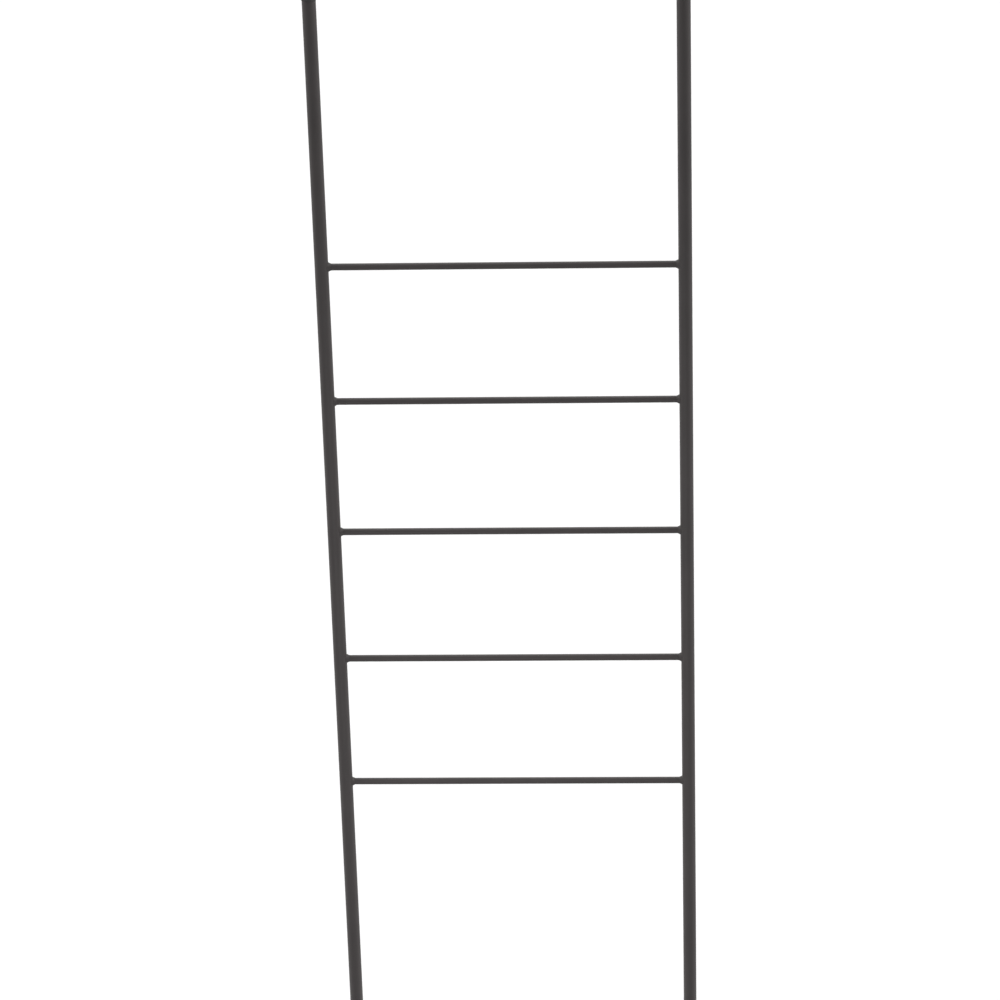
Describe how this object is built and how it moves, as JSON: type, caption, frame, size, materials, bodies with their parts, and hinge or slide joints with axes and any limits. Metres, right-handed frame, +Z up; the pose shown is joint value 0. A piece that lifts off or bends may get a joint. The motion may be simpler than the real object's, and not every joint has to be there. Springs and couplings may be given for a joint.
{
  "type": "blanket ladder",
  "caption": "Leaning blanket ladder: two round powder-coated tube rails joined by slim welded rod rungs, with a soft cap on each tube end.",
  "frame": {"origin": "on the floor, midway between the two feet", "axes": "+X across the ladder along the rungs, towards the right rail as seen from the front; +Z up along the rails; +Y towards the wall that it leans on, so -Y is the front"},
  "size_m": [0.4434, 0.0184, 1.42],
  "materials": {
    "powder_coat": "matte fine-textured charcoal black powder coat",
    "soft_cap": "matte black soft moulded cap"
  },
  "bodies": {
    "root": {"left_rail": "powder_coat", "left_foot_cap": "soft_cap", "left_top_cap": "soft_cap", "right_rail": "powder_coat", "right_foot_cap": "soft_cap", "right_top_cap": "soft_cap", "rung_1": "powder_coat", "weld_1_left": "powder_coat", "weld_1_right": "powder_coat", "rung_2": "powder_coat", "weld_2_left": "powder_coat", "weld_2_right": "powder_coat", "rung_3": "powder_coat", "weld_3_left": "powder_coat", "weld_3_right": "powder_coat", "rung_4": "powder_coat", "weld_4_left": "powder_coat", "weld_4_right": "powder_coat", "rung_5": "powder_coat", "weld_5_left": "powder_coat", "weld_5_right": "powder_coat"}
  },
  "joints": []
}
